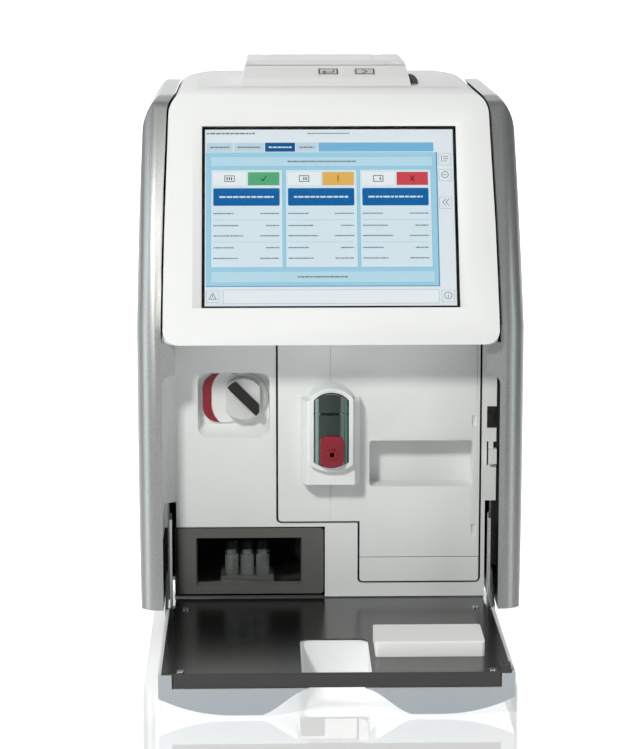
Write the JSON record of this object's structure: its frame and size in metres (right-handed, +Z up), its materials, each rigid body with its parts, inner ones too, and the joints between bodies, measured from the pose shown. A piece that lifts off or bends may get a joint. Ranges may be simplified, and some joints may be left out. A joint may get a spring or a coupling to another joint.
{
  "type": "blood gas analyzer",
  "caption": "Bench-top blood gas analyzer with a leaning touch display, paper printer, fold-down front door, slide-out fluid pack with sample port, and a control vial drawer.",
  "frame": {"origin": "on the bench at the centre of the four feet, under the centre of the body, the open door and the bezel left out", "axes": "+X to the right seen from the front, +Y to the back, +Z up"},
  "size_m": [0.3258, 0.5115, 0.4963],
  "materials": {
    "silver_panel": "metallic satin paint on plastic",
    "white_cover": "fine matte",
    "white_inner": "fine matte",
    "white_door": "semi-gloss",
    "dark_plastic": "matte",
    "black_plastic": "matte",
    "rubber": "matte",
    "sheet_steel": "zinc plated",
    "bright_steel": "bright",
    "door_sheet": "dark satin coating",
    "touch_glass": "clear",
    "screen": "lit picture",
    "board": "solder mask",
    "rack_plastic": "matte",
    "smoked_window": "smoked clear",
    "vial_glass": "clear with liquid",
    "red_plastic": "gloss",
    "teal_clear": "tinted gloss",
    "reagent_film": "filled pouch",
    "paper": null
  },
  "bodies": {
    "base": {"side_panel_left": "silver_panel", "side_panel_right": "silver_panel", "top_cover": "white_cover", "rear_panel": "sheet_steel", "inner_front_frame": "white_inner", "side_liners": "black_plastic", "base_plate": "sheet_steel", "plinth": "dark_plastic", "rubber_feet": "rubber", "chassis_sides": "sheet_steel", "bulkhead": "sheet_steel", "pack_bay": "black_plastic", "display_panel": "screen", "display_surround": "black_plastic", "touch_glass": "touch_glass", "main_board": "board", "power_supply": "sheet_steel", "inlet_socket": "black_plastic", "data_ports": "dark_plastic", "fan_housing": "dark_plastic", "measuring_chamber": "rack_plastic", "pump_motor": "sheet_steel", "pump_head": "rack_plastic", "lock_recess": "white_inner", "lock_indicator": "red_plastic", "door_latch": "black_plastic", "hinge_brackets": "sheet_steel", "hinge_pins": "bright_steel", "printer_base": "white_cover", "print_head": "dark_plastic"},
    "front_door": {"door_shell": "white_door", "door_plate": "door_sheet", "door_pad": "white_inner", "door_screws": "bright_steel", "door_arms": "bright_steel"},
    "fluid_pack": {"pack_front": "white_inner", "pack_foot": "white_inner", "pack_case": "white_inner", "reagent_bags": "reagent_film", "port_housing": "white_inner", "port_cap": "teal_clear"},
    "sample_flap": {"port_flap": "teal_clear", "fill_port": "red_plastic"},
    "control_drawer": {"drawer_front": "dark_plastic", "drawer_window": "smoked_window", "drawer_tray": "dark_plastic", "vial_rack": "rack_plastic", "control_vials": "vial_glass", "vial_caps": "dark_plastic"},
    "sensor_lock": {"lock_dial": "rack_plastic", "lock_grip": "black_plastic"},
    "printer_cover": {"printer_lid": "white_cover"},
    "platen": {"platen_roller": "rubber"},
    "paper": {"paper_roll": "paper"},
    "return_key": {"return_button": "rack_plastic"},
    "next_key": {"next_button": "rack_plastic"},
    "cover_release": {"release_lever": "dark_plastic"},
    "hose_pump": {"pump_rotor": "dark_plastic"},
    "fan": {"fan_rotor": "black_plastic"},
    "power_switch": {"power_rocker": "black_plastic"}
  },
  "joints": [
    {"name": "door_hinge", "type": "hinge", "parent": "base", "child": "front_door", "pos_m": [0, -0.139, 0.03], "axis": [1, 0, 0], "range_deg": [-90, 0]},
    {"name": "pack_slide", "type": "slide", "parent": "base", "child": "fluid_pack", "axis": [0, -1, 0], "range_m": [0, 0.16]},
    {"name": "flap_hinge", "type": "hinge", "parent": "fluid_pack", "child": "sample_flap", "pos_m": [0.0007, -0.145, 0.204], "axis": [-1, 0, 0], "range_deg": [0, 25]},
    {"name": "drawer_slide", "type": "slide", "parent": "base", "child": "control_drawer", "axis": [0, -1, 0], "range_m": [0, 0.105]},
    {"name": "lock_turn", "type": "hinge", "parent": "base", "child": "sensor_lock", "pos_m": [-0.0743, -0.103, 0.2112], "axis": [0, 1, 0], "range_deg": [0, 90]},
    {"name": "printer_cover_hinge", "type": "hinge", "parent": "base", "child": "printer_cover", "pos_m": [-0.00375, 0.05432, 0.4923], "axis": [-1, 0, 0], "range_deg": [0, 75]},
    {"name": "paper_spin", "type": "hinge", "parent": "base", "child": "paper", "pos_m": [-0.00375, 0.01632, 0.4632], "axis": [1, 0, 0], "continuous": true},
    {"name": "platen_spin", "type": "hinge", "parent": "printer_cover", "child": "platen", "pos_m": [-0.00375, -0.02668, 0.4887], "axis": [1, 0, 0], "continuous": true},
    {"name": "return_press", "type": "slide", "parent": "base", "child": "return_key", "axis": [0, 0.4744, -0.8803], "range_m": [0, 0.001], "stiffness_N_per_m": 500, "springref_m": -0.001},
    {"name": "next_press", "type": "slide", "parent": "base", "child": "next_key", "axis": [0, 0.4744, -0.8803], "range_m": [0, 0.001], "stiffness_N_per_m": 500, "springref_m": -0.001},
    {"name": "release_press", "type": "slide", "parent": "base", "child": "cover_release", "axis": [-1, 0, 0], "range_m": [0, 0.0015], "stiffness_N_per_m": 500, "springref_m": -0.001},
    {"name": "pump_spin", "type": "hinge", "parent": "base", "child": "hose_pump", "pos_m": [-0.096, 0.0712, 0.14], "axis": [0, 1, 0], "continuous": true},
    {"name": "fan_spin", "type": "hinge", "parent": "base", "child": "fan", "pos_m": [0.07, 0.162, 0.3], "axis": [0, 1, 0], "continuous": true},
    {"name": "power_rock", "type": "hinge", "parent": "base", "child": "power_switch", "pos_m": [-0.058, 0.1635, 0.076], "axis": [1, 0, 0], "range_deg": [0, 12]}
  ],
  "couplings": [
    {"joint": "platen_spin", "follows": "paper_spin", "ratio": -5}
  ]
}
